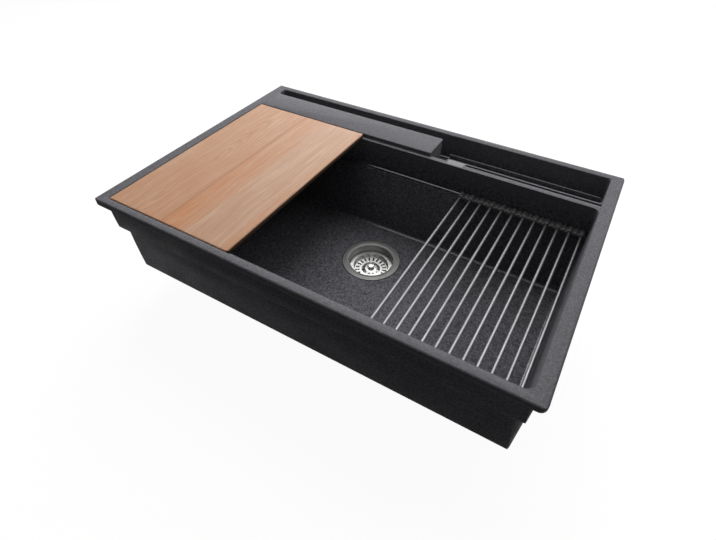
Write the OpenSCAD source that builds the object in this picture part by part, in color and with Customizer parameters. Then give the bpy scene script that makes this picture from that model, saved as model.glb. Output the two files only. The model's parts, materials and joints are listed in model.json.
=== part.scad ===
// Workstation kitchen sink of dark stone composite, dropped into a worktop cut-out.
// Upper ledges carry a cutting board flush with the rim. Lower ledges carry a
// roll-up rack of steel rods held by silicone end strips. Behind the bowl are a
// tap deck, a narrow slot and an open trough. The drain is a basket strainer.
// Frame: X to the right, Y to the back, Z up. The origin is at the middle of the
// rim, on the plane of the worktop that the rim rests on.

/* [Rim] */
// Overall width of the rim, left to right
rim_w = 762; // [640:1:900]
// Overall depth of the rim, front to back
rim_d = 521; // [480:1:600]
// Thickness of the rim above the worktop
rim_t = 10; // [8:0.5:14]
// Corner radius of the rim in plan
rim_corner_r = 10; // [4:1:25]
// Rounding of the rim's upper outer edge
rim_edge_r = 4; // [1:0.5:6]
// Width of the rim at the left and right
side_rim = 21; // [18:0.5:40]
// Width of the rim at the front
front_rim = 14.5; // [12.5:0.5:40]
// Width of the rim at the back
back_rim = 16.5; // [10.5:0.5:40]
// Rounding of the inner upper edges
lip_r = 1.5; // [0.5:0.5:3]

/* [Bowl] */
// Depth of the bowl floor below the rim's top
bowl_depth = 170; // [140:1:240]
// Thickness of the walls
wall_t = 8; // [6:0.5:12]
// Thickness of the floor
floor_t = 10; // [8:0.5:16]
// Draft of the front and back walls, in degrees
wall_draft = 2; // [0.5:0.5:4]
// Draft of the side walls, in degrees
side_draft = 1.5; // [0.25:0.25:2]
// Draft of the bowl's back wall below the rack ledge, in degrees
back_draft = 17; // [8:0.5:18]
// Draft of the outer faces at the front and back, in degrees
outer_draft = 4.5; // [2:0.5:6]
// Draft of the outer faces at the sides, in degrees
outer_side_draft = 1.1; // [0.5:0.1:3]
// Radius of the bowl's upright corners
bowl_corner_r = 12; // [6:1:30]
// Radius of the body's outer upright corners above the step
outer_corner_r = 10.5; // [8:0.5:16]
// How much larger the outer corners below the step are than the bowl's corners
low_corner_extra = 12; // [4:1:12]
// Radius where the walls meet the floor inside
floor_fillet_r = 8; // [3:0.5:16]
// Radius of the outer bottom edges
base_edge_r = 12; // [6:1:20]

/* [Ledges] */
// Depth of the board ledges below the rim's top
board_ledge_drop = 7; // [5:0.5:14]
// Width of the board ledge at the front
front_ledge_w = 6; // [4:0.5:12]
// Width of the board ledge at the back
back_ledge_w = 8.6; // [5:0.2:14]
// Depth of the rack ledges below the rim's top
rack_ledge_drop = 60; // [52:1:75]
// Width of the rack ledges
rack_ledge_w = 11.5; // [9:0.5:16]

/* [Deck, slot and trough] */
// Depth of the tap deck, front to back
deck_d = 61.5; // [50:0.5:80]
// Distance from the bowl's left wall to the deck's right end
deck_l = 410; // [300:1:460]
// Width of the slot behind the deck
slot_w = 21.5; // [16:0.5:30]
// Distance of the slot's left end from the bowl's left wall line
slot_inset = 3.5; // [2:0.5:10]
// Depth of the slot and trough below the rim's top
trough_depth = 50; // [44:1:58]
// Depth of the ledge along the trough's back wall below the rim's top
trough_ledge_drop = 42; // [36:1:43]
// Width of the ledge along the trough's back wall
trough_ledge_w = 8.5; // [4:0.5:12]
// Thickness of the divider between the bowl and the trough
divider_t = 19.2; // [18:0.2:26]
// Width of the lip along the divider's rear edge
divider_lip_w = 3.4; // [2.5:0.1:5]
// Width of the groove between the divider's top and its rear lip
divider_groove_w = 5.6; // [4:0.2:7]
// Depth of the groove
divider_groove_h = 4; // [2:0.5:6]
// Depth of the notch between the deck's end and the badge's pad
divider_notch_h = 12; // [6:1:20]
// Radius of the upright corners of the slot and trough
trough_corner_r = 7; // [4:1:9]
// Radius where the trough's walls meet its floor
trough_fillet_r = 5; // [3:0.5:7]
// Thickness of the stiffening ribs under the deck
rib_t = 6; // [4:0.5:10]

/* [Badge] */
// Width of the bare badge plate
badge_w = 32; // [20:1:45]
// Depth of the bare badge plate, front to back
badge_d = 15; // [10:0.5:17]
// Thickness of the badge plate
badge_t = 0.8; // [0.6:0.1:1.2]
// Distance from the deck's right end to the badge plate
badge_gap = 35; // [15:1:80]

/* [Drain] */
// Offset of the drain to the right of the middle
drain_x = 12; // [-60:1:60]
// Offset of the drain to the back of the middle
drain_y = 5.5; // [-60:0.5:30]
// Outer radius of the strainer flange
flange_r = 57; // [55:0.5:60]
// Thickness of the strainer flange
flange_t = 1.6; // [1.2:0.1:2.5]
// Thickness of the seal under the flange
seal_t = 1; // [0.6:0.1:2]
// How far the flange stands above the floor
flange_proud = 0.6; // [0.2:0.1:1.2]
// Radius of the hole in the floor
drain_hole_r = 45.5; // [45.2:0.1:47]
// Outer radius of the strainer cup
cup_r = 44.4; // [43:0.1:44.8]
// Wall thickness of the strainer cup
cup_wall = 1.8; // [1.2:0.1:2.5]
// Depth of the cup's shoulder below the flange
shoulder_z = 16; // [12:0.5:20]
// Depth of the cup's bottom below the flange
cup_depth = 49; // [44:0.5:56]
// Outer radius of the outlet spigot
spigot_r = 23.9; // [22:0.1:26]
// Bore radius of the outlet spigot
outlet_r = 20.5; // [18:0.1:21.5]
// Length of the outlet spigot
spigot_l = 20; // [14:0.5:30]
// Thickness of the rubber gasket under the floor
gasket_t = 4; // [3:0.5:6]
// Thickness of the fibre washer
washer_t = 1.5; // [1:0.1:3]
// Height of the lock nut
nut_h = 9.5; // [7:0.5:12]
// Radius of the lock nut's ring
nut_r = 54; // [51:0.5:58]
// Number of lugs on the lock nut
nut_lugs = 8; // [6:1:12]
// Depth of the basket's floor below the flange
basket_depth = 25; // [23:0.5:33]
// Height of the dome in the middle of the basket's floor
basket_dome = 3; // [2:0.5:4]
// Number of long slots in the basket's floor
basket_slots = 20; // [12:1:22]
// Radius of the basket's post
post_r = 3.9; // [3:0.1:5]
// Radius of the knob on the basket's post
knob_r = 7; // [5.5:0.5:9]
// How far the basket lifts
basket_travel = 60; // [55:1:80]

/* [Cutting board] */
// Width of the cutting board, left to right
board_w = 262; // [200:1:320]
// Full thickness of the cutting board
board_t = 8; // [7.5:0.5:12]
// Joint around the cutting board
board_gap = 1.1; // [0.6:0.1:2]
// Corner radius of the cutting board
board_corner_r = 5; // [3:0.5:10]
// Rounding of the cutting board's edges
board_edge_r = 2.5; // [1:0.25:2.5]

/* [Roll-up rack] */
// Distance between neighbouring rods
rod_pitch = 20; // [19:0.5:22]
// Radius of a rod
rod_r = 2.5; // [2:0.1:3.2]
// Distance from the bowl's right wall line to the last rod
rack_right = 10; // [8:0.5:20]
// Height of the silicone end strips
strip_h = 9; // [8:0.25:9.5]
// Length of an end strip along the rods
strip_l = 17; // [14:0.5:24]
// Width of an end strip's foot under each rod
foot_w = 10; // [8:0.5:11]
// Radius of the round link between two feet
link_r = 3.6; // [3:0.1:4]
// Gap between the rack's ends and the walls
rack_end_gap = 2; // [1:0.5:4]
// Length of silicone that caps each rod's end
rod_cap = 1.5; // [1:0.25:3]

/* [Clearances] */
// Gap under a piece that slides on a ledge
seat_gap = 0.3; // [0.2:0.05:0.5]
// Radial clearance of a piece held in a bore
bore_gap = 0.05; // [0.03:0.01:0.1]

/* [Hidden] */
$fn = 72;
eps = 0.01;
big = 2000;

// Colours seen in the photograph
stone_col = [0.17, 0.17, 0.18];
wood_col = [0.80, 0.64, 0.52];
steel_col = [0.74, 0.75, 0.76];
silicone_col = [0.27, 0.27, 0.28];
rubber_col = [0.10, 0.10, 0.10];
fibre_col = [0.55, 0.42, 0.30];

// Heights
z_top = rim_t;
z_board_ledge = rim_t - board_ledge_drop;
z_rack_ledge = rim_t - rack_ledge_drop;
z_floor = rim_t - bowl_depth;
z_under = z_floor - floor_t;
z_trough = rim_t - trough_depth;
z_trough_ledge = rim_t - trough_ledge_drop;

// Inner lines of the rim and bowl, at the top
x_in = rim_w / 2 - side_rim;
y_front_in = -(rim_d / 2 - front_rim);
y_back_in = rim_d / 2 - back_rim;
y_slot_f = y_back_in - slot_w;
y_deck_f = y_slot_f - deck_d;
y_bowl_f = y_front_in + front_ledge_w;
y_bowl_b = y_deck_f - back_ledge_w;
y_trough_f = y_bowl_b + divider_t;
y_lip = y_trough_f - divider_lip_w;
y_groove = y_lip - divider_groove_w;
x_deck = -x_in + deck_l;
x_slot = -x_in + slot_inset;

// Draft of the front and back walls down to the rack ledge
ledge_fall = (z_board_ledge - z_rack_ledge) * tan(wall_draft);
y_ledge_f = y_bowl_f + ledge_fall;
y_ledge_b = y_bowl_b - ledge_fall;
y_low_f = y_ledge_f + rack_ledge_w;
y_low_b = y_ledge_b - rack_ledge_w;

// Outer faces, set at the bowl's floor and leaning out as they rise
floor_fall = (z_rack_ledge - z_floor) * tan(wall_draft);
lean = tan(outer_draft);
x_out_floor = x_in + wall_t - 1.5;
x_out_top = x_out_floor - z_floor * tan(outer_side_draft);
x_out = x_out_top + z_trough * tan(outer_side_draft);
y_out_step_f = y_ledge_f - wall_t;
y_out_step_b = y_ledge_b + wall_t;
y_out_low_f = y_low_f + floor_fall - wall_t;
y_out_low_b = y_low_b + wall_t / cos(back_draft);

// Drain levels
z_seal = z_floor - (flange_t + seal_t - flange_proud);
z_flange = z_seal + seal_t;
z_cup = z_flange - cup_depth;
recess_r = flange_r + 1;
cup_in = cup_r - cup_wall;
shoulder_r = cup_in - 4.6;
z_shoulder = z_flange - shoulder_z;
z_gasket = z_under - gasket_t;
z_washer = z_gasket - washer_t;
z_nut = z_washer - nut_h;
spigot_z = z_cup - cup_wall;

// Basket levels
basket_t = 1.2;
basket_r = cup_in - 0.8;
basket_wall_r = shoulder_r - 1.8;
z_basket_rim = z_shoulder + seat_gap;
z_basket_floor = z_flange - basket_depth;
z_dome = z_basket_floor + basket_dome;
z_knob = z_dome + basket_t + 5.5;
stopper_r = outlet_r + 5.5;
z_stopper = z_cup + 1.3;
stopper_t = 4.7;

// Rack levels and rod places
n_rods = 12;
z_rack = z_rack_ledge + seat_gap;
z_rod = z_rack + strip_h / 2;
x_last = x_in - rack_right;
y_strip_f = y_ledge_f + rack_end_gap;
y_strip_b = y_ledge_b - rack_end_gap;
function rod_x(i) = x_last - (n_rods - 1 - i) * rod_pitch;

// Points along an arc, for outlines
function arc(cx, cy, r, a0, a1, n = 8) =
  [for (i = [0 : n]) [cx + r * cos(a0 + (a1 - a0) * i / n), cy + r * sin(a0 + (a1 - a0) * i / n)]];

// Rounded rectangle seen from above
function plan_pts(x0, x1, y0, y1, r) = concat(
  arc(x0 + r, y0 + r, r, 180, 270), arc(x1 - r, y0 + r, r, 270, 360),
  arc(x1 - r, y1 - r, r, 0, 90), arc(x0 + r, y1 - r, r, 90, 180));

// Upright section of a tub from a to b at height zt, rounded at the foot. Side a leans in by
// d degrees and side b by e degrees
function tub_pts(a, b, zt, z_up, zb, d, r, e) = concat(
  [[a - (z_up - zt) * tan(d), z_up]],
  arc(a + (zt - zb - r) * tan(d) + r / cos(d), zb + r, r, 180 + d, 270),
  arc(b - (zt - zb - r) * tan(e) - r / cos(e), zb + r, r, 270, 360 - e),
  [[b + (z_up - zt) * tan(e), z_up]]);

// Section of an opening whose upper edge is rounded outwards by r
function flare_pts(a, b, z, r) = concat(
  [[b, z - r]], arc(b + r, z - r, r, 180, 90, 5), [[b + r, z + 1], [a - r, z + 1]],
  arc(a - r, z - r, r, 90, 0, 5));

// Section of a plate whose upper edges are rounded by r
function plate_pts(a, b, z0, z1, r) = concat(
  [[a, z0], [b, z0]], arc(b - r, z1 - r, r, 0, 90, 6), arc(a + r, z1 - r, r, 90, 180, 6));

// Prisms that carry a section along Y or along X
module along_y(y0, y1) {
  translate([0, y1, 0]) rotate([90, 0, 0]) linear_extrude(y1 - y0) children();
}
module along_x(x0, x1) {
  translate([x0, 0, 0]) rotate([90, 0, 90]) linear_extrude(x1 - x0) children();
}

// Tub with drafted walls, rounded corners in plan and a rounded foot
module tub(x0, x1, zx, y0, y1, zy, z_up, zb, rp, rb, dx = side_draft, dy = wall_draft) {
  intersection() {
    along_y(y0 - 20, y1 + 20) polygon(tub_pts(x0, x1, zx, z_up, zb, dx, rb, dx));
    along_x(x0 - 20, x1 + 20) polygon(tub_pts(y0, y1, zy, z_up, zb, dy, rb, dy));
    translate([0, 0, zb - 1]) linear_extrude(z_up - zb + 2) polygon(plan_pts(x0, x1, y0, y1, rp));
  }
}

// Tub whose back wall slopes by back_draft. Its back corners are rounded about the slope
module sloped_tub(x0, x1, zx, y0, y1, zy, z_up, zb, rp, rb, dx, dy) {
  reach = y1 - y0 + 150;
  intersection() {
    along_y(y0 - 20, y1 + 20) polygon(tub_pts(x0, x1, zx, z_up, zb, dx, rb, dx));
    along_x(x0 - 20, x1 + 20) polygon(tub_pts(y0, y1, zy, z_up, zb, dy, rb, back_draft));
    translate([0, 0, zb - 1]) linear_extrude(z_up - zb + 2)
      polygon(plan_pts(x0, x1, y0, y1 + 60, rp));
    translate([0, y1, zy]) rotate([-back_draft, 0, 0]) translate([0, 0, -reach])
      linear_extrude(2 * reach) polygon(plan_pts(x0, x1, -reach, 0, rp));
  }
}

// Straight-walled well with a rounded foot
module well(x0, x1, y0, y1, z_up, zb, rp, rb) {
  intersection() {
    along_y(y0 - 20, y1 + 20) polygon(tub_pts(x0, x1, z_up, z_up, zb, 0, rb, 0));
    along_x(x0 - 20, x1 + 20) polygon(tub_pts(y0, y1, z_up, z_up, zb, 0, rb, 0));
    translate([0, 0, zb - 1]) linear_extrude(z_up - zb + 2) polygon(plan_pts(x0, x1, y0, y1, rp));
  }
}

// Rounded upper edge around a rectangular opening
module flare(x0, x1, y0, y1, z, rp) {
  intersection() {
    along_y(y0 - 20, y1 + 20) polygon(flare_pts(x0, x1, z, lip_r));
    along_x(x0 - 20, x1 + 20) polygon(flare_pts(y0, y1, z, lip_r));
    translate([0, 0, z - lip_r - 1]) linear_extrude(lip_r + 3)
      polygon(plan_pts(x0 - lip_r, x1 + lip_r, y0 - lip_r, y1 + lip_r, rp + lip_r));
  }
}

// Rim plate with its rounded upper edge
module rim_plate() {
  intersection() {
    along_y(-rim_d, rim_d) polygon(plate_pts(-rim_w / 2, rim_w / 2, 0, z_top, rim_edge_r));
    along_x(-rim_w, rim_w) polygon(plate_pts(-rim_d / 2, rim_d / 2, 0, z_top, rim_edge_r));
    translate([0, 0, -1]) linear_extrude(z_top + 2)
      polygon(plan_pts(-rim_w / 2, rim_w / 2, -rim_d / 2, rim_d / 2, rim_corner_r));
  }
}

// Outside of the bowl, the slot and the trough, before they are hollowed
module outer_shell() {
  z_step = z_rack_ledge - wall_t;
  z_box = z_trough - wall_t;
  up_f = y_out_step_f + z_rack_ledge * lean;
  up_b = y_out_step_b - z_rack_ledge * lean;
  low_f = y_out_low_f - (z_rack_ledge - z_floor) * lean;
  rim_plate();
  tub(-x_out_top, x_out_top, 0, up_f, up_b, 0, 1, z_step,
    outer_corner_r, 3, outer_side_draft, outer_draft);
  sloped_tub(-x_out_top, x_out_top, 0, low_f, y_out_low_b, z_rack_ledge, z_rack_ledge + 2,
    z_under, bowl_corner_r + low_corner_extra, base_edge_r, outer_side_draft, outer_draft);
  well(x_slot - wall_t, x_deck + 10, y_slot_f - wall_t, y_back_in + wall_t, 1, z_box, 3, 5);
  well(x_deck - wall_t, x_out, y_bowl_b + 1, y_back_in + wall_t, 1, z_box, 3, 5);
  // left end wall that closes the hollow under the deck
  translate([-x_out, y_bowl_b - 10, z_box + 5])
    cube([wall_t, y_back_in - y_bowl_b + 4, -z_box - 4]);
  // ribs under the deck
  for (k = [1 : 2])
    translate([-x_in + deck_l * k / 3 - rib_t / 2, y_bowl_b, z_box / 2])
      cube([rib_t, y_slot_f - y_bowl_b, 1 - z_box / 2]);
}

// Everything that is hollow in the sink body
module hollows() {
  x_badge = x_deck + badge_gap;
  pad_x0 = x_badge - 3;
  pad_x1 = x_badge + badge_w + 3;
  up = z_top + 1;
  // opening over the ledges, and its rounded edge
  well(-x_in, x_in, y_front_in, y_deck_f, up, z_board_ledge, trough_corner_r, 0.8);
  flare(-x_in, x_in, y_front_in, y_deck_f, z_top, trough_corner_r);
  // bowl above and below the rack ledge
  tub(-x_in, x_in, z_top, y_bowl_f, y_bowl_b, z_board_ledge, z_board_ledge + 1, z_rack_ledge,
    bowl_corner_r, 2);
  sloped_tub(-x_in, x_in, z_top, y_low_f, y_low_b, z_rack_ledge, z_rack_ledge + 3, z_floor,
    bowl_corner_r, floor_fillet_r, side_draft, wall_draft);
  // recess over the divider, right of the deck
  well(x_deck, x_in, y_bowl_b - 20, y_back_in, up, z_board_ledge, trough_corner_r, 0.8);
  flare(x_deck, x_in, y_bowl_b - 20, y_back_in, z_top, trough_corner_r);
  // trough, the ledge along its back wall, and the slot that opens into it
  well(x_deck, x_in, y_trough_f, y_back_in - trough_ledge_w, up, z_trough, trough_corner_r,
    trough_fillet_r);
  well(x_deck, x_in, y_trough_f, y_back_in, up, z_trough_ledge, trough_corner_r, 1.5);
  well(x_slot, x_deck + 2 * trough_corner_r, y_slot_f, y_back_in, up, z_trough,
    trough_corner_r, trough_fillet_r);
  flare(x_slot, x_deck + 30, y_slot_f, y_back_in, z_top, trough_corner_r);
  // rounded upright corner where the deck's end meets the slot
  translate([0, 0, z_trough + trough_fillet_r]) linear_extrude(up - z_trough - trough_fillet_r)
    polygon(concat(
      [[x_deck + eps, y_slot_f - trough_corner_r], [x_deck + eps, y_slot_f + eps],
       [x_deck - trough_corner_r, y_slot_f + eps]],
      arc(x_deck - trough_corner_r, y_slot_f - trough_corner_r, trough_corner_r, 90, 0)));
  // groove along the divider right of the badge's pad, and the notch left of it
  translate([pad_x1, y_groove, z_board_ledge - divider_groove_h])
    cube([x_in - pad_x1, divider_groove_w, divider_groove_h + 1]);
  translate([x_deck, y_groove, z_board_ledge - divider_notch_h])
    cube([pad_x0 - x_deck, y_trough_f - y_groove + 5, divider_notch_h + 1]);
  // shallow seat of the badge plate
  translate([x_badge - 0.2, y_trough_f - 1.2 - badge_d, z_board_ledge - badge_t - 0.2])
    cube([badge_w + 0.4, badge_d + 0.4, badge_t + 1.2]);
  // drain hole and the recess for the flange
  translate([drain_x, drain_y, z_under - 1]) cylinder(r = drain_hole_r, h = floor_t + 2);
  translate([drain_x, drain_y, z_seal]) cylinder(r = recess_r, h = 6);
}

module sink_body() {
  color(stone_col) difference() {
    outer_shell();
    hollows();
  }
}

module badge_plate() {
  color(steel_col)
    translate([0, 0, z_board_ledge - badge_t - 0.2]) linear_extrude(badge_t)
      polygon(plan_pts(x_deck + badge_gap, x_deck + badge_gap + badge_w,
        y_trough_f - 1 - badge_d, y_trough_f - 1, 2));
}

// Stainless flange, stepped cup and outlet spigot, turned about the drain's axis
module strainer_body() {
  z1 = z_flange + flange_t;
  zs = z_nut - 5;
  color(steel_col) translate([drain_x, drain_y, 0]) rotate_extrude()
    polygon(concat(
      [[flange_r, z_flange], [flange_r, z1 - 0.7]],
      arc(flange_r - 0.7, z1 - 0.7, 0.7, 0, 90, 3),
      [[cup_in + 6, z1], [cup_in + 2, z1 - 0.7]],
      arc(cup_in + 1.2, z1 - 1.9, 1.2, 70, 180, 4),
      [[cup_in, z_shoulder],
       [shoulder_r, z_shoulder], [shoulder_r - 0.8, z_shoulder - 1],
       [shoulder_r - 1.2, z_cup + 7]],
      arc(shoulder_r - 7.2, z_cup + 7, 6, 0, -80, 5),
      [[outlet_r + 1, z_cup], [outlet_r, z_cup - 1], [outlet_r, spigot_z - spigot_l],
       [spigot_r, spigot_z - spigot_l], [spigot_r, spigot_z],
       [shoulder_r - 6, spigot_z], [shoulder_r + 0.8, z_cup + 5],
       [shoulder_r + 1.4, zs - 4], [cup_r, zs], [cup_r, z_flange]]));
}

// Plain ring about the drain's axis
module drain_ring(r0, r1, z0, h) {
  translate([drain_x, drain_y, z0]) difference() {
    cylinder(r = r1, h = h);
    translate([0, 0, -1]) cylinder(r = r0, h = h + 2);
  }
}

module flange_seal() {
  color(rubber_col) drain_ring(drain_hole_r + 0.5, flange_r - 1, z_seal, seal_t);
}

module floor_gasket() {
  color(rubber_col) drain_ring(cup_r + 0.1, drain_hole_r + 14.5, z_gasket, gasket_t);
}

module fibre_washer() {
  color(fibre_col) drain_ring(cup_r + 0.1, drain_hole_r + 13.5, z_washer, washer_t);
}

module lock_nut() {
  color(steel_col) translate([drain_x, drain_y, z_nut]) difference() {
    union() {
      cylinder(r = nut_r, h = nut_h);
      for (i = [0 : nut_lugs - 1])
        rotate([0, 0, i * 360 / nut_lugs]) translate([nut_r - 2, -4, 0]) cube([6, 8, nut_h]);
    }
    translate([0, 0, -1]) cylinder(r = cup_r + 0.05, h = nut_h + 2);
  }
}

// Long slot with round ends, cut straight down
module radial_slot(r0, r1, w) {
  translate([(r0 + r1) / 2, 0, -basket_t * 3]) linear_extrude(basket_t * 8) union() {
    square([r1 - r0 - w, w], center = true);
    translate([(r1 - r0 - w) / 2, 0]) circle(r = w / 2);
    translate([-(r1 - r0 - w) / 2, 0]) circle(r = w / 2);
  }
}

// Perforated basket that hangs on the cup's shoulder
module strainer_basket() {
  zr = z_basket_rim;
  zb = z_basket_floor;
  rw = basket_wall_r;
  color(steel_col) translate([drain_x, drain_y, 0]) difference() {
    rotate_extrude() polygon([
      [basket_r, zr + basket_t], [basket_r, zr], [rw, zr], [rw - 0.8, zb + 3],
      [rw - 2.8, zb], [18, zb], [11, z_dome - 0.4], [8, z_dome], [post_r + bore_gap, z_dome],
      [post_r + bore_gap, z_dome + basket_t], [8.2, z_dome + basket_t],
      [11.6, z_dome + basket_t - 0.4], [18.5, zb + basket_t],
      [rw - 3.2, zb + basket_t], [rw - 2, zb + 3.2], [rw - 1.3, zr + basket_t]]);
    for (i = [0 : basket_slots - 1])
      rotate([0, 0, i * 360 / basket_slots]) translate([0, 0, zb]) radial_slot(22.5, rw - 4.2, 3.4);
    for (i = [0 : 11])
      rotate([0, 0, i * 30 + 15]) translate([15.5, 0, zb - 1]) cylinder(r = 1.7, h = 5, $fn = 24);
  }
}

// Post with a knob on top and a head that holds the stopper
module basket_post() {
  zk = z_knob;
  zh = z_stopper - 2.5;
  color(steel_col) translate([drain_x, drain_y, 0]) rotate_extrude() polygon(concat(
    [[0, zh], [6, zh], [6.5, zh + 0.8], [6.5, z_stopper], [post_r, z_stopper],
     [post_r, zk - 4], [knob_r - 1.5, zk - 3], [knob_r, zk - 1]],
    arc(knob_r - 2, zk, 2, 0, 90, 4), [[0, zk + 2.6]]));
}

module basket_stopper() {
  color(rubber_col) translate([drain_x, drain_y, 0]) rotate_extrude() polygon([
    [post_r + bore_gap, z_stopper], [stopper_r - 1.5, z_stopper], [stopper_r, z_stopper + 1],
    [stopper_r, z_stopper + 2], [stopper_r - 4, z_stopper + stopper_t - 1],
    [post_r + 3, z_stopper + stopper_t], [post_r + bore_gap, z_stopper + stopper_t]]);
}

// Board with a thin tongue at the front and back that rests on the upper ledges
module cutting_board() {
  x0 = -x_in + board_gap;
  x1 = x0 + board_w;
  y0 = y_front_in + board_gap;
  y1 = y_deck_f - board_gap;
  zb = z_top - board_t;
  zt = z_board_ledge + seat_gap;
  color(wood_col) union() {
    intersection() {
      along_y(y0 - 1, y1 + 1) polygon(plate_pts(x0, x1, zt, z_top, board_edge_r));
      along_x(x0 - 1, x1 + 1) polygon(plate_pts(y0, y1, zt, z_top, board_edge_r));
      translate([0, 0, zt - 1]) linear_extrude(z_top - zt + 2)
        polygon(plan_pts(x0, x1, y0, y1, board_corner_r));
    }
    translate([0, 0, zb]) linear_extrude(zt - zb + 1)
      polygon(plan_pts(x0, x1, y_bowl_f + board_gap, y_bowl_b - board_gap, bowl_corner_r));
  }
}

// One steel rod of the rack
module rod(i) {
  y0 = y_strip_f + rod_cap;
  color(steel_col) translate([rod_x(i), y0, z_rod]) rotate([-90, 0, 0])
    cylinder(r = rod_r, h = y_strip_b - rod_cap - y0);
}

// Section of an end strip that holds the rods i0 to i1, with a round link to the next strip
module strip_section(i0, i1) {
  half = rod_pitch / 2;
  for (i = [i0 : i1]) {
    translate([rod_x(i), z_rod]) circle(r = strip_h / 2, $fn = 48);
    translate([rod_x(i) - foot_w / 2, z_rack]) square([foot_w, strip_h / 2]);
    // web and round link towards the next rod on the left
    if (i > 0) {
      translate([rod_x(i) - half, z_rod - 1.5]) square([half, 3]);
      translate([rod_x(i) - half, z_rod]) circle(r = link_r, $fn = 48);
    }
    // web towards the link on the right
    if (i < n_rods - 1) {
      reach = i < i1 ? half : half - link_r - seat_gap;
      translate([rod_x(i), z_rod - 1.5]) square([reach, 3]);
    }
  }
}

// Silicone strip that holds the rods i0 to i1 at one end of the rack
module strip(i0, i1, y0, rod_y0) {
  color(silicone_col) difference() {
    along_y(y0, y0 + strip_l) strip_section(i0, i1);
    for (i = [i0 : i1])
      translate([rod_x(i), rod_y0, z_rod]) rotate([-90, 0, 0])
        cylinder(r = rod_r + bore_gap, h = strip_l);
  }
}
module strip_back(i0, i1) {
  strip(i0, i1, y_strip_b - strip_l, y_strip_b - rod_cap - strip_l);
}
module strip_front(i0, i1) {
  strip(i0, i1, y_strip_f, y_strip_f + rod_cap);
}

sink_body();
badge_plate();
strainer_body();
flange_seal();
floor_gasket();
fibre_washer();
lock_nut();
cutting_board();
strainer_basket();
basket_post();
basket_stopper();
rod(0);  // rod_01
rod(1);  // rod_02
rod(2);  // rod_03
rod(3);  // rod_04
rod(4);  // rod_05
rod(5);  // rod_06
rod(6);  // rod_07
rod(7);  // rod_08
rod(8);  // rod_09
rod(9);  // rod_10
rod(10);  // rod_11
rod(11);  // rod_12
strip_back(7, 11);  // strip_back_a
strip_back(6, 6);  // strip_back_b
strip_back(5, 5);  // strip_back_c
strip_back(2, 4);  // strip_back_d
strip_back(1, 1);  // strip_back_e
strip_back(0, 0);  // strip_back_f
strip_front(7, 11);  // strip_front_a
strip_front(6, 6);  // strip_front_b
strip_front(5, 5);  // strip_front_c
strip_front(2, 4);  // strip_front_d
strip_front(1, 1);  // strip_front_e
strip_front(0, 0);  // strip_front_f
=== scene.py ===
# %% [markdown]
# # A workstation sink in stone composite
# This lesson dresses a kitchen sink that is already built as exact solids.
# The sink is a dark, speckled composite casting with a flat rim. A beech
# cutting board lies in its upper ledges, a rack of steel rods lies on its
# lower ledges, and a basket strainer closes the drain. The solids give every
# size and place, so the lesson only adds softened edges, finishes and light.

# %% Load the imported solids
import json
import math

import bmesh
import bpy
import numpy as np
from mathutils import Matrix, Vector


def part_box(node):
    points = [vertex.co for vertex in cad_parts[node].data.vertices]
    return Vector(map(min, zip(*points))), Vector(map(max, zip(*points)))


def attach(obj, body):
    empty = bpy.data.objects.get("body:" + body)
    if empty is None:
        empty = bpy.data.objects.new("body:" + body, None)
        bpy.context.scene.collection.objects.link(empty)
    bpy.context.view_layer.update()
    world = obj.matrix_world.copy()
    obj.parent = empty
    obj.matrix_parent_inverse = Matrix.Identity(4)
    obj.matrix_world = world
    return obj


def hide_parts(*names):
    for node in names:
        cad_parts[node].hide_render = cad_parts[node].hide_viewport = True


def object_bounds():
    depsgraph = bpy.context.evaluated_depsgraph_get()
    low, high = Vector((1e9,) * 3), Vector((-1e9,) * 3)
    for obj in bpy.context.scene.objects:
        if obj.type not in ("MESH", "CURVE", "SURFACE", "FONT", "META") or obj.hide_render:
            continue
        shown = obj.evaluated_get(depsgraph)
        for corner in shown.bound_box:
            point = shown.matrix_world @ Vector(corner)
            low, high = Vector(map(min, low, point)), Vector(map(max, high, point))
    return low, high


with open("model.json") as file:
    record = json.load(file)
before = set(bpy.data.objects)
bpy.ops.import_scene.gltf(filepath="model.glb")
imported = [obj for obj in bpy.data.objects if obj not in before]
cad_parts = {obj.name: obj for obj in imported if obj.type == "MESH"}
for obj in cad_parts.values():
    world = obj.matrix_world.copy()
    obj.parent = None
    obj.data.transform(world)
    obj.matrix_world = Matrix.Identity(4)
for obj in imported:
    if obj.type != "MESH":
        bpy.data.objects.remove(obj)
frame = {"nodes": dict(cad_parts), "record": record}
nodes = frame["nodes"]
solid_low, solid_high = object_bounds()
body_of_node = {
    node: body
    for body, members in frame["record"]["behaviour"]["bodies"].items()
    for node in members
}

# %% [markdown]
# ## The camera
# The photograph looks down on the sink from the front right. The camera was
# solved from the four corners of the rim and from the round flange of the
# drain, so its direction, place and focal length are known numbers. A camera
# can be placed by Euler angles, but a matrix made from its three directions
# is easier to read: right, up and backwards.

# %% Place the camera
def camera_axes(azimuth, elevation, roll):
    """Right, up and back directions of a camera. Back points from the scene to
    the camera. Azimuth turns about +Z from a look along +Y, elevation lifts the
    camera, and roll turns the picture about the line of sight."""
    a, e, r = np.radians([azimuth, elevation, roll])
    back = np.array([np.sin(a) * np.cos(e), -np.cos(a) * np.cos(e), np.sin(e)])
    level = np.cross(-back, [0, 0, 1])
    level /= np.linalg.norm(level)
    upright = np.cross(level, -back)
    right = np.cos(r) * level + np.sin(r) * upright
    up = -np.sin(r) * level + np.cos(r) * upright
    return right, up, back


PHOTO_WIDTH, PHOTO_HEIGHT = 716.0, 540.0    # pixels
FOCAL_LENGTH = 464.05                       # pixels, solved
CENTRE_X, CENTRE_Y = 356.32, 270.98         # pixels, solved
SENSOR_WIDTH = 36.0                         # mm
CAMERA_PLACE = (0.32906, -0.57947, 0.47766)

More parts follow.
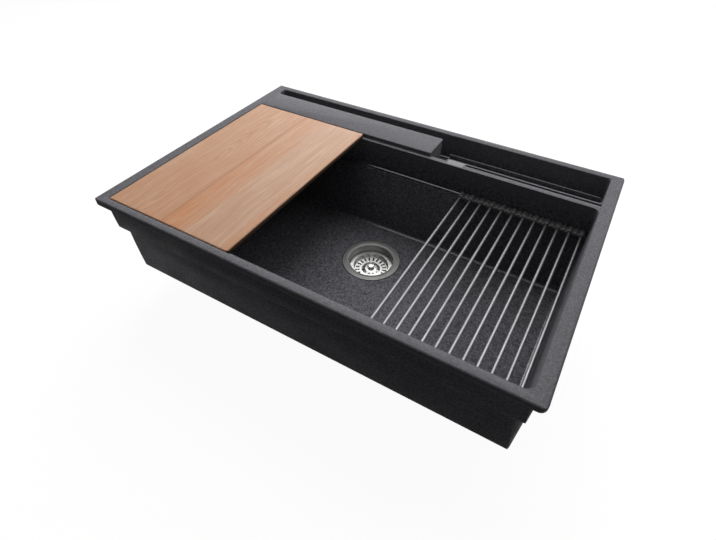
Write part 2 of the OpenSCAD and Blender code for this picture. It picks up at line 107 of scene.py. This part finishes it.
right, up, back = camera_axes(azimuth=30.995, elevation=45.203, roll=-0.230)
camera_data = bpy.data.cameras.new("photo_camera")
camera_data.sensor_width = SENSOR_WIDTH
camera_data.lens = FOCAL_LENGTH * SENSOR_WIDTH / PHOTO_WIDTH
camera_data.shift_x = (PHOTO_WIDTH / 2 - CENTRE_X) / PHOTO_WIDTH
camera_data.shift_y = (CENTRE_Y - PHOTO_HEIGHT / 2) / PHOTO_WIDTH
camera_data.clip_start = 0.05
camera = bpy.data.objects.new("photo_camera", camera_data)
bpy.context.scene.collection.objects.link(camera)
place = np.eye(4)
place[:3, 0], place[:3, 1], place[:3, 2] = right, up, back
place[:3, 3] = CAMERA_PLACE
camera.matrix_world = Matrix(place.tolist())
bpy.context.scene.camera = camera
print("lens:", round(camera_data.lens, 2), "mm")

# %% [markdown]
# ## Light
# In the photograph the level faces are about five times as light as the front
# faces, and the basin's floor grows lighter from the back left to the front
# right. Both tell of wide soft light from behind, part of it high and part of
# it low. Three large softboxes make it. Their powers were solved from the
# tones of the rim, the floor, the walls and the board, so that a level face
# gets as much light as its colour is written for. A weak sky keeps the front
# faces from going black. The white background is only what the camera and
# mirrors see.

# %% Hang the lamps
LIT_POINT = (0.0, 0.0, -0.05)
SOFTBOX_SIZE = 1.8
SOFTBOXES = [  # name, place in metres, watts
    ("high_softbox", (-0.47, 1.17, 1.99), 40.0),
    ("low_softbox", (-0.70, 1.98, 1.11), 36.0),
    ("side_softbox", (1.20, 1.44, 1.44), 14.0),
]


def softbox(name, place, watts):
    """A square area light at place, turned so that it faces the sink."""
    data = bpy.data.lights.new(name, "AREA")
    data.shape = "SQUARE"
    data.size = SOFTBOX_SIZE
    data.energy = watts
    lamp = bpy.data.objects.new(name, data)
    bpy.context.scene.collection.objects.link(lamp)
    aim = Vector(LIT_POINT) - Vector(place)
    lamp.rotation_euler = aim.to_track_quat("-Z", "Y").to_euler()
    lamp.location = place


for name, place, watts in SOFTBOXES:
    softbox(name, place, watts)
print("softboxes:", [(name, watts) for name, _, watts in SOFTBOXES])

# %% Make the sky and the floor
SKY_LIGHT = 0.08       # strength of the sky as a light
PAPER_GREY = 0.08      # how much light the floor throws back at the sink
PAPER_WHITE = 0.95     # how white the floor shows in the picture


def see_white(tree, grey, white):
    """A number that is white for rays from the camera, from mirrors and through
    glass, which show the background, and grey for rays that carry light."""
    path = tree.nodes.new("ShaderNodeLightPath")
    seen = path.outputs["Is Camera Ray"]
    for kind in ("Is Glossy Ray", "Is Transmission Ray"):
        either = tree.nodes.new("ShaderNodeMath")
        either.operation = "MAXIMUM"
        tree.links.new(seen, either.inputs[0])
        tree.links.new(path.outputs[kind], either.inputs[1])
        seen = either.outputs[0]
    blend = tree.nodes.new("ShaderNodeMapRange")
    blend.inputs["To Min"].default_value = grey
    blend.inputs["To Max"].default_value = white
    tree.links.new(seen, blend.inputs["Value"])
    return blend.outputs["Result"]


world = bpy.data.worlds.new("studio")
bpy.context.scene.world = world
world.use_nodes = True
sky = world.node_tree.nodes["Background"]
sky.inputs["Color"].default_value = (1.0, 1.0, 1.0, 1.0)
world.node_tree.links.new(see_white(world.node_tree, SKY_LIGHT, 1.0), sky.inputs["Strength"])

floor_mesh = bpy.data.meshes.new("studio_floor")
half, level = 6.0, solid_low[2] - 0.001
corners = np.array([[-half, -half], [half, -half], [half, half], [-half, half]])
floor_mesh.from_pydata([(x, y, level) for x, y in corners], [], [(0, 1, 2, 3)])
floor = bpy.data.objects.new("studio_floor", floor_mesh)
bpy.context.scene.collection.objects.link(floor)
paper = bpy.data.materials.new("studio_paper")
paper.use_nodes = True
tree = paper.node_tree
shade = tree.nodes["Principled BSDF"]
shade.inputs["Base Color"].default_value = (PAPER_GREY, PAPER_GREY, PAPER_GREY, 1.0)
shade.inputs["Roughness"].default_value = 0.9
shade.inputs["Specular IOR Level"].default_value = 0.0
shade.inputs["Emission Color"].default_value = (1.0, 1.0, 1.0, 1.0)
tree.links.new(see_white(tree, 0.0, PAPER_WHITE), shade.inputs["Emission Strength"])
floor_mesh.materials.append(paper)
print("floor at", round(level, 4))

# %% [markdown]
# ## Shared effects
# Several finishes need the same things: fine specks, long fine scratches and
# a soft unevenness from handling. Each is a node group that is built once and
# used with its own numbers. A small helper makes the groups short to write.

# %% A helper for node groups
class Sketch:
    """Adds nodes to a tree and joins them, so that a group reads as a recipe."""

    def __init__(self, tree):
        self.tree = tree

    def add(self, kind, inputs=None, **settings):
        """A node of that kind. inputs maps socket name or number to a value or
        to another node's output; settings are the node's own properties."""
        node = self.tree.nodes.new(kind)
        for key, value in settings.items():
            setattr(node, key, value)
        for key, value in (inputs or {}).items():
            if isinstance(value, bpy.types.NodeSocket):
                self.tree.links.new(value, node.inputs[key])
            else:
                node.inputs[key].default_value = value
        return node

    def math(self, operation, a, b=0.0, clamp=False):
        """One arithmetic step on two numbers."""
        node = self.add("ShaderNodeMath", {0: a, 1: b}, operation=operation)
        node.use_clamp = clamp
        return node.outputs[0]

    def ramp(self, value, low, high, to_low=0.0, to_high=1.0):
        """value stretched from low..high to to_low..to_high, and held there."""
        node = self.add("ShaderNodeMapRange", {
            "Value": value, "From Min": low, "From Max": high,
            "To Min": to_low, "To Max": to_high})
        return node.outputs["Result"]

    def mix(self, factor, a, b):
        """Colour a turning into colour b as factor goes from 0 to 1."""
        node = self.add("ShaderNodeMix", data_type="RGBA")
        for socket, value in ((node.inputs[0], factor), (node.inputs[6], a), (node.inputs[7], b)):
            if isinstance(value, bpy.types.NodeSocket):
                self.tree.links.new(value, socket)
            else:
                socket.default_value = value
        return node.outputs[2]

    def times(self, a, b):
        """a multiplied by b."""
        return self.math("MULTIPLY", a, b)

    def part(self, vector, axis):
        """One coordinate of a vector: 0 for X, 1 for Y and 2 for Z."""
        return self.add("ShaderNodeSeparateXYZ", {0: vector}).outputs[axis]

    def length(self, a, b):
        """The length of the arrow (a, b)."""
        return self.math("SQRT", self.math("ADD", self.times(a, a), self.times(b, b)))


def effect(name, inputs, outputs):
    """An empty node group with named number inputs and outputs."""
    group = bpy.data.node_groups.new(name, "ShaderNodeTree")
    group.interface.new_socket("Vector", in_out="INPUT", socket_type="NodeSocketVector")
    for label, value in inputs.items():
        socket = group.interface.new_socket(label, in_out="INPUT", socket_type="NodeSocketFloat")
        socket.default_value = value
    for label in outputs:
        group.interface.new_socket(label, in_out="OUTPUT", socket_type="NodeSocketFloat")
    return group, group.nodes.new("NodeGroupInput"), group.nodes.new("NodeGroupOutput")


# %% Specks of crushed stone
def build_specks():
    """Specks are cells of a Voronoi pattern. Each cell has its own random
    number, and only the cells above a limit show, as a round spot that fades
    before it meets its neighbour."""
    group, given, result = effect("specks", {"Size": 0.001, "Share": 0.2}, ["Spot", "Tone"])
    s = Sketch(group)
    scale = s.math("DIVIDE", 1.0, given.outputs["Size"])
    cells = s.add("ShaderNodeTexVoronoi", {"Vector": given.outputs["Vector"], "Scale": scale})
    tone = s.add("ShaderNodeSeparateColor", {0: cells.outputs["Color"]})
    limit = s.math("SUBTRACT", 1.0, given.outputs["Share"])
    chosen = s.math("GREATER_THAN", tone.outputs[0], limit)
    round_spot = s.ramp(cells.outputs["Distance"], 0.25, 0.55, 1.0, 0.0)
    group.links.new(s.math("MULTIPLY", chosen, round_spot), result.inputs["Spot"])
    group.links.new(tone.outputs[1], result.inputs["Tone"])
    return group


# %% Long fine scratches
def build_scratches():
    """Noise that is squeezed across the lay and stretched along it looks like
    the lines that a brush or a belt leaves. The squeeze is set by a Mapping
    node outside, because each piece is brushed in its own direction."""
    group, given, result = effect("scratches", {"Fineness": 1.0}, ["Line"])
    s = Sketch(group)
    coarse = s.add("ShaderNodeTexNoise", {
        "Vector": given.outputs["Vector"], "Scale": given.outputs["Fineness"],
        "Detail": 4.0, "Roughness": 0.6})
    group.links.new(s.ramp(coarse.outputs["Fac"], 0.30, 0.70), result.inputs["Line"])
    return group


# %% Unevenness from handling
def build_handling():
    """Slow, broad noise. It varies the gloss a little, as touch, water and
    cleaning do on any used surface."""
    group, given, result = effect("handling", {"Patch": 0.05}, ["Film"])
    s = Sketch(group)
    scale = s.math("DIVIDE", 1.0, given.outputs["Patch"])
    slow = s.add("ShaderNodeTexNoise", {
        "Vector": given.outputs["Vector"], "Scale": scale, "Detail": 5.0, "Roughness": 0.55})
    group.links.new(s.ramp(slow.outputs["Fac"], 0.28, 0.72), result.inputs["Film"])
    return group


specks, scratches, handling = build_specks(), build_scratches(), build_handling()
print("effects:", [g.name for g in (specks, scratches, handling)])


# %% A helper for materials
def finish_named(name):
    """A new material, its sketch, its Principled shader and the place on the
    piece. The place is read from Object coordinates, in metres."""
    material = bpy.data.materials.new(name)
    material.use_nodes = True
    s = Sketch(material.node_tree)
    shader = material.node_tree.nodes["Principled BSDF"]
    here = s.add("ShaderNodeTexCoord").outputs["Object"]
    return material, s, shader, here


def place_effect(s, group, here, **numbers):
    """One of the shared effects, with its own numbers."""
    node = s.add("ShaderNodeGroup", node_tree=group)
    s.tree.links.new(here, node.inputs["Vector"])
    for label, value in numbers.items():
        node.inputs[label.replace("_", " ")].default_value = value
    return node


def join(s, shader, **sockets):
    """Joins outputs to the shader's sockets, or sets them to plain values."""
    for label, value in sockets.items():
        socket = shader.inputs[label.replace("_", " ")]
        if isinstance(value, bpy.types.NodeSocket):
            s.tree.links.new(value, socket)
        else:
            socket.default_value = value


def bumps(s, shader, height, depth, strength):
    """Gives the shader a normal that follows height, with depth in metres."""
    node = s.add("ShaderNodeBump", {"Height": height, "Distance": depth, "Strength": strength})
    s.tree.links.new(node.outputs["Normal"], shader.inputs["Normal"])


# %% [markdown]
# ## The stone composite
# The casting is crushed quartz in a black resin. Seen close it is almost
# black with grey specks of about two millimetres and a few paler ones, a
# little blue. A noise texture alone would look like fog, so two sizes of
# specks lie over a slow cloud. On the rim and the deck an even grey, lighter
# than the resin, covers about half of the specks there: a painted sheen.
#
# The face is matt. Only along the rounded corners and ledge edges inside the
# basin does the photograph show thin lines of light, so these are taken as
# rubbed smooth, and the ledges most. The flat normal of each small face tells
# where they are: it points neither straight up nor sideways.

# %% Mix the composite
RESIN = (0.046, 0.045, 0.052, 1), (0.150, 0.147, 0.165, 1)
GREY_QUARTZ = (0.145, 0.143, 0.157, 1), (0.290, 0.286, 0.308, 1)
PALE_QUARTZ = (0.170, 0.168, 0.180, 1), (0.310, 0.306, 0.325, 1)
SHEEN_GREY = (0.176, 0.173, 0.184, 1)
COMPOSITE_IOR = 1.8


def mix_composite():
    """Specks of two sizes over a cloud of resin, with a sheen on low edges."""
    material, s, shader, here = finish_named("black_composite")
    height = s.part(here, 2)
    fine = place_effect(s, specks, here, Size=0.0021, Share=0.50)
    coarse = place_effect(s, specks, here, Size=0.0034, Share=0.18)
    cloud = place_effect(s, handling, here, Patch=0.0045)
    film = place_effect(s, handling, here, Patch=0.05)
    dark = s.mix(cloud.outputs["Film"], *RESIN)
    grey = s.mix(fine.outputs["Tone"], *GREY_QUARTZ)
    pale = s.mix(coarse.outputs["Tone"], *PALE_QUARTZ)
    colour = s.mix(s.times(fine.outputs["Spot"], 0.8), dark, grey)
    colour = s.mix(s.times(coarse.outputs["Spot"], 0.5), colour, pale)
    # painted sheen: the rim and the deck are painted a lighter, more even grey
    painted_sheen_on_top = s.ramp(height, -0.030, -0.005, 0.0, 0.55)
    colour = s.mix(painted_sheen_on_top, colour, SHEEN_GREY)
    # rubbed edges: the flat normal's height lies between 0.4 and 0.98
    flat = s.add("ShaderNodeNewGeometry").outputs["True Normal"]
    facing = s.part(flat, 2)
    turned = s.times(s.ramp(facing, 0.35, 0.45), s.ramp(facing, 0.995, 0.975))
    rubbed = s.times(turned, s.ramp(height, -0.020, -0.030))
    at_ledges = s.ramp(height, -0.080, -0.060, 0.25, 0.90)
    shine = s.math("ADD", s.times(rubbed, at_ledges), 0.008)
    matt = s.ramp(film.outputs["Film"], 0.0, 1.0, 0.46, 0.56)
    gloss = s.math("SUBTRACT", matt, s.times(rubbed, 0.26))
    join(s, shader, Base_Color=colour, Roughness=gloss,
         Specular_IOR_Level=shine, IOR=COMPOSITE_IOR)
    grit = s.math("ADD", fine.outputs["Spot"], coarse.outputs["Spot"])
    bumps(s, shader, grit, depth=0.00003, strength=0.5)
    return material


composite = mix_composite()

# %% [markdown]
# ## The wood
# The board is glued from a few wide staves with the grain running from front
# to back. The left stave is flat sawn, with pointed arches. The middle one is
# streaky and orange, and the right one is pale with fine lines. A ramp with
# sharp steps across X gives every stave three numbers: how warm it is, how pale
# it is, and how far its grain is shifted, so that the pattern breaks at each
# glue line as it does on real wood. The arches are the rings of a trunk that
# the saw met at a slant: distance from a tilted axis, with slow noise.
#
# The board's edge shows no light face. So the edge under the top corner is
# painted nearly black: a painted shade on the board's side face.

# %% Saw the staves
STAVES = [  # left side in metres, warmth, paleness, shift of the grain
    (-0.3600, 0.30, 0.30, 0.10),
    (-0.3010, 0.38, 0.18, 0.32),
    (-0.2358, 0.95, 0.45, 0.58),
    (-0.2110, 0.72, 0.30, 0.66),
    (-0.1860, 0.16, 0.95, 0.83),
    (-0.1120, 0.48, 0.62, 0.95),
]
RAMP_LEFT, RAMP_WIDTH = -0.37, 0.29    # the ramp spans the board and a little more
PITH_X = -0.292                        # the trunk's axis under the left stave
DARK_GLUE_X = -0.2358
TAN, PALE_TAN = (0.530, 0.312, 0.200, 1), (0.495, 0.328, 0.236, 1)
ORANGE = (0.560, 0.225, 0.090, 1)
CREAM = (0.640, 0.430, 0.300, 1)
PEACH = (0.600, 0.400, 0.280, 1)
RING_BROWN = (0.400, 0.250, 0.165, 1)
LINE_BROWN = (0.440, 0.225, 0.120, 1)
PORE_BROWN = (0.300, 0.150, 0.075, 1)
STREAK_BROWN = (0.420, 0.190, 0.095, 1)
GLUE_BROWN = (0.180, 0.090, 0.050, 1)
EDGE_SHADE_BROWN = (0.030, 0.017, 0.010, 1)
board_top = float(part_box("cutting_board")[1][2])
print("staves:", len(STAVES), "board top at", round(board_top, 4))


def stave_numbers(s, across):
    """Warmth, paleness and shift of the stave at each place across X."""
    along_ramp = s.math("DIVIDE", s.math("SUBTRACT", across, RAMP_LEFT), RAMP_WIDTH)
    step = s.add("ShaderNodeValToRGB", {0: along_ramp})
    step.color_ramp.interpolation = "CONSTANT"
    stops = step.color_ramp.elements
    for edge, warm, pale, seed in STAVES:
        stops.new((edge - RAMP_LEFT) / RAMP_WIDTH).color = (warm, pale, seed, 1)
    stops.remove(stops[0])
    stave = s.add("ShaderNodeSeparateColor", {0: step.outputs["Color"]})
    return (stave.outputs[k] for k in range(3))


def stretched(s, vector, scale):
    """vector with each axis multiplied by its own number."""
    return s.add("ShaderNodeMapping", {"Vector": vector, "Scale": scale}).outputs[0]


def mix_wood():
    """Staves with arches, streaks, fine lines and pores along the grain."""
    material, s, shader, here = finish_named("board_wood")
    place = s.add("ShaderNodeSeparateXYZ", {0: here})
    across, along, up_here = place.outputs[0], place.outputs[1], place.outputs[2]
    warm, pale, seed = stave_numbers(s, across)
    shift = s.add("ShaderNodeCombineXYZ", {0: s.times(seed, 3.0), 1: seed, 2: seed}).outputs[0]
    moved = s.add("ShaderNodeVectorMath", {0: here, 1: shift}, operation="ADD").outputs[0]
    # the grain wanders a few millimetres sideways along the board
    slow_place = stretched(s, moved, (6.0, 5.0, 1.0))
    wander = s.add("ShaderNodeTexNoise", {
        "Vector": slow_place, "Scale": 1.0, "Detail": 2.0}).outputs["Fac"]
    bent = s.math("ADD", across, s.ramp(wander, 0.2, 0.8, -0.006, 0.006))
    grain = s.add("ShaderNodeCombineXYZ", {0: bent, 1: along, 2: seed}).outputs[0]
    # arches of the flat sawn stave: distance from an axis that tilts along Y
    depth = s.math("ADD", s.times(along, 0.11), 0.012)
    side = s.math("ADD", bent, -PITH_X)
    ring = s.math("ADD", s.length(side, depth), s.times(wander, 0.02))
    rings = s.math("SINE", s.times(ring, 1150.0))
    arches = s.times(s.ramp(rings, 0.1, 1.0), s.math("SUBTRACT", 1.0, pale))
    # streaks of some millimetres, fine lines of one or two, and pores
    streaks = place_effect(s, scratches, stretched(s, grain, (170.0, 6.0, 3.0))).outputs["Line"]
    lines = place_effect(s, scratches, stretched(s, grain, (560.0, 12.0, 3.0))).outputs["Line"]
    pores = place_effect(s, specks, stretched(s, grain, (1.0, 0.08, 1.0)),
                         Size=0.0008, Share=0.16).outputs["Spot"]
    slow = place_effect(s, handling, grain, Patch=0.045).outputs["Film"]
    # tan to pale by stave, and orange by warmth, streak and nearness to the front
    front = s.ramp(along, -0.24, 0.10, 1.0, 0.35)
    orange = s.math("MULTIPLY", s.times(warm, front),
                    s.ramp(streaks, 0.15, 0.60, 0.25, 1.0), clamp=True)
    colour = s.mix(pale, TAN, PALE_TAN)
    colour = s.mix(orange, colour, ORANGE)
    colour = s.mix(s.ramp(streaks, 0.55, 0.15, 0.0, 0.45), colour, CREAM)
    colour = s.mix(s.times(s.ramp(slow, 0.3, 1.0), 0.30), colour, PEACH)
    colour = s.mix(s.times(arches, 0.75), colour, RING_BROWN)
    colour = s.mix(s.ramp(lines, 0.30, 0.8, 0.0, 0.55), colour, LINE_BROWN)
    colour = s.mix(s.times(pores, 0.30), colour, PORE_BROWN)
    # the darkest glue line, and the brown streak that runs along it
    off = s.math("ABSOLUTE", s.math("ADD", across, -DARK_GLUE_X))
    colour = s.mix(s.ramp(off, 0.0006, 0.0065, 0.55, 0.0), colour, STREAK_BROWN)
    colour = s.mix(s.ramp(off, 0.0002, 0.0008, 0.45, 0.0), colour, GLUE_BROWN)
    # painted shade: the edge is painted dark from a little under the top face
    under = s.math("SUBTRACT", board_top, up_here)
    colour = s.mix(s.ramp(under, 0.0012, 0.0026, 0.0, 0.92), colour, EDGE_SHADE_BROWN)
    join(s, shader, Base_Color=colour, Roughness=s.ramp(lines, 0.0, 1.0, 0.46, 0.58),
         Specular_IOR_Level=0.18)
    bumps(s, shader, s.math("SUBTRACT", s.times(lines, 0.4), pores), depth=0.00006, strength=0.5)
    return material


wood = mix_wood()

# %% [markdown]
# ## Steel
# The rods are drawn stainless tube with a satin lay along their length. The
# badge plate and the lock nut are satin too. The strainer is spun, so its lay
# runs in rings. For the satin pieces a Mapping node squeezes the scratches
# across the lay, and for spun pieces the scratches read the distance from the
# drain's axis.
#
# The colours are darker than stainless steel really is, because the softboxes
# stand where these pieces mirror them. The light lines on the rods fade
# towards the back. Most of that is reflection, so the rods are painted darker
# towards their back ends: a painted fade of the reflection.

# %% Mix the steels
def grey(value, blue=0.0):
    """A grey colour, with a little more or less blue."""
    return (value, value, value + blue, 1)


def darker(colour, share):
    """colour with its three values multiplied by share."""
    return tuple(c * share for c in colour[:3]) + (1,)


def half_worn(s, lines, film):
    """Wear from 0 to 1: half of it scratches and half of it handling."""
    return s.times(s.math("ADD", lines.outputs["Line"], film.outputs["Film"]), 0.5)


def mix_satin_steel(name, colour, gloss, squeeze, dull=0.0):
    """Satin steel whose scratches run along one axis. squeeze stretches the
    place before the noise: small numbers along the lay, large ones across.
    dull is how much the steel is painted darker towards the back, a painted fade of its
    reflection."""
    material, s, shader, here = finish_named(name)
    lines = place_effect(s, scratches, stretched(s, here, squeeze))
    film = place_effect(s, handling, here, Patch=0.02)
    tint = s.mix(film.outputs["Film"], colour, darker(colour, 0.90))
    # painted reflection: the steel is painted darker towards the back
    painted_fade_to_back = s.ramp(s.part(here, 1), -0.20, 0.12, 0.0, dull)
    tint = s.mix(painted_fade_to_back, tint, darker(colour, 0.25))
    rough = s.ramp(half_worn(s, lines, film), 0.0, 1.0, *gloss)
    join(s, shader, Base_Color=tint, Metallic=1.0, Roughness=rough)
    bumps(s, shader, lines.outputs["Line"], depth=0.00001, strength=0.4)
    return material


def mix_spun_steel(name, flange_dim_reflection, cup_bright_reflection, gloss, middle, edge):
    """Spun steel: the scratches are rings, because the noise reads the
    distance from the drain's axis and the height, and hardly the angle. The
    brushed flange outside edge is duller than the polished cup. Its colour is
    painted far darker than the cup's: a painted dim reflection on the flange
    and a painted bright one in the cup."""
    material, s, shader, here = finish_named(name)
    centred = s.add("ShaderNodeVectorMath", {0: here, 1: middle}, operation="SUBTRACT")
    part = s.add("ShaderNodeSeparateXYZ", {0: centred.outputs[0]})
    reach = s.length(part.outputs[0], part.outputs[1])
    ring = s.add("ShaderNodeCombineXYZ", {
        0: s.times(reach, 2200.0), 1: s.times(part.outputs[2], 1500.0), 2: 0.0})
    lines = place_effect(s, scratches, ring.outputs[0])
    film = place_effect(s, handling, here, Patch=0.015)
    worn = half_worn(s, lines, film)
    outside = s.ramp(reach, edge - 0.003, edge)
    # painted reflection: the flange is painted dark and the cup light
    colour = s.mix(outside, cup_bright_reflection, flange_dim_reflection)
    tint = s.mix(s.times(worn, 0.25), colour, darker(flange_dim_reflection, 0.7))
    rough = s.math("ADD", s.ramp(worn, 0.0, 1.0, *gloss), s.times(outside, 0.14))
    join(s, shader, Base_Color=tint, Metallic=1.0, Roughness=rough)
    bumps(s, shader, lines.outputs["Line"], depth=0.00001, strength=0.35)
    return material


ALONG_Y, ALONG_X = (900.0, 12.0, 900.0), (20.0, 1200.0, 900.0)    # the lay's direction
FLANGE_INNER_RADIUS = 0.0435
drain_low, drain_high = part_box("strainer_body")
drain_middle = tuple((drain_low + drain_high) / 2)
rod_steel = mix_satin_steel("rod_steel", grey(0.225, 0.005), (0.46, 0.58), ALONG_Y, dull=0.80)
plate_steel = mix_satin_steel("plate_steel", grey(0.24, 0.005), (0.38, 0.50), ALONG_X)
badge_steel = mix_satin_steel("badge_steel", grey(0.085, 0.002), (0.52, 0.62), ALONG_X)
drain_steel = mix_spun_steel("drain_steel", grey(0.092, -0.002), grey(0.62, -0.01),
                             (0.26, 0.38), drain_middle, FLANGE_INNER_RADIUS)
print("drain axis:", [round(float(v), 4) for v in drain_middle])

# %% [markdown]
# ## Silicone, rubber and fibre
# The rack's end strips are dark grey silicone, matt and a little dusty. The
# seals are black rubber and the slip washer is brown fibre. They share one
# recipe: a colour that shifts slowly, a fine grain and a dull surface.

# %% Mix the soft finishes
def mix_moulded(name, low, high, gloss, grain, depth):
    """A dull moulded material: slow cloud in the colour, fine grain as bump."""
    material, s, shader, here = finish_named(name)
    film = place_effect(s, handling, here, Patch=0.012)
    fine = place_effect(s, specks, here, Size=grain, Share=0.5)
    colour = s.mix(film.outputs["Film"], low, high)
    colour = s.mix(s.times(fine.outputs["Spot"], 0.25), colour, high)
    join(s, shader, Base_Color=colour, Specular_IOR_Level=0.4,
         Roughness=s.ramp(film.outputs["Film"], 0.0, 1.0, gloss - 0.06, gloss + 0.06))
    bumps(s, shader, fine.outputs["Spot"], depth, strength=0.5)
    return material


silicone = mix_moulded("silicone", grey(0.076, 0.004), grey(0.123, 0.006),
                       gloss=0.55, grain=0.0006, depth=0.00004)
rubber = mix_moulded("rubber", grey(0.012), grey(0.022),
                     gloss=0.60, grain=0.0005, depth=0.00004)
fibre = mix_moulded("fibre", (0.190, 0.110, 0.060, 1), (0.280, 0.170, 0.095, 1),
                    gloss=0.80, grain=0.0004, depth=0.00005)

# %% [markdown]
# ## Softened edges
# A cast or moulded piece has no knife edges: light catches a small radius on
# every corner. The solids have sharp ones where the radius is small. Here a
# copy of a solid's mesh is merged into whole faces, and a Bevel modifier
# rounds each edge that turns sharply. The copy then stands for the solid.

# %% A helper that rounds a solid's edges
SHARP_EDGE = math.radians(30.0)     # edges that turn more than this are rounded
FLAT_ENOUGH = math.radians(0.5)     # faces that turn less than this are merged
SAME_POINT = 1e-6                   # metres


def softened(node, material, width, segments):
    """A copy of a node's mesh with its edges rounded by width, in metres."""
    mesh = nodes[node].data.copy()
    mesh.name = node + "_soft"
    work = bmesh.new()
    work.from_mesh(mesh)
    bmesh.ops.remove_doubles(work, verts=work.verts, dist=SAME_POINT)
    bmesh.ops.dissolve_limit(work, angle_limit=FLAT_ENOUGH, verts=work.verts, edges=work.edges)
    work.to_mesh(mesh)
    work.free()
    mesh.materials.clear()
    mesh.materials.append(material)
    mesh.polygons.foreach_set("use_smooth", np.ones(len(mesh.polygons), dtype=bool))
    piece = bpy.data.objects.new(node + "_soft", mesh)
    bpy.context.scene.collection.objects.link(piece)
    bevel = piece.modifiers.new("round_edges", "BEVEL")
    bevel.width = width
    bevel.segments = segments
    bevel.limit_method = "ANGLE"
    bevel.angle_limit = SHARP_EDGE
    bevel.harden_normals = True
    bevel.miter_outer = "MITER_ARC"
    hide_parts(node)
    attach(piece, body_of_node[node])
    return piece


sink = softened("sink_body", composite, width=0.0012, segments=3)
for node in nodes:
    if node.startswith("strip_"):
        softened(node, silicone, width=0.0006, segments=2)
softened("lock_nut", plate_steel, width=0.0006, segments=2)
print("rounded:", len(sink.data.polygons), "faces on the sink")


# %% Give the other solids their finishes
def dress(node, material):
    """Puts a material on a solid that stays as it is."""
    mesh = nodes[node].data
    mesh.materials.clear()
    mesh.materials.append(material)


for node in nodes:
    if node.startswith("rod_"):
        dress(node, rod_steel)
dress("cutting_board", wood)
dress("badge_plate", badge_steel)
for node in ("strainer_body", "strainer_basket", "basket_post"):
    dress(node, drain_steel)
for node in ("flange_seal", "floor_gasket", "basket_stopper"):
    dress(node, rubber)
dress("fibre_washer", fibre)

# %% [markdown]
# ## Finish
# The view transform is Standard, so a colour renders about as it is written.

# %% Set the view and close
bpy.context.scene.view_settings.view_transform = "Standard"
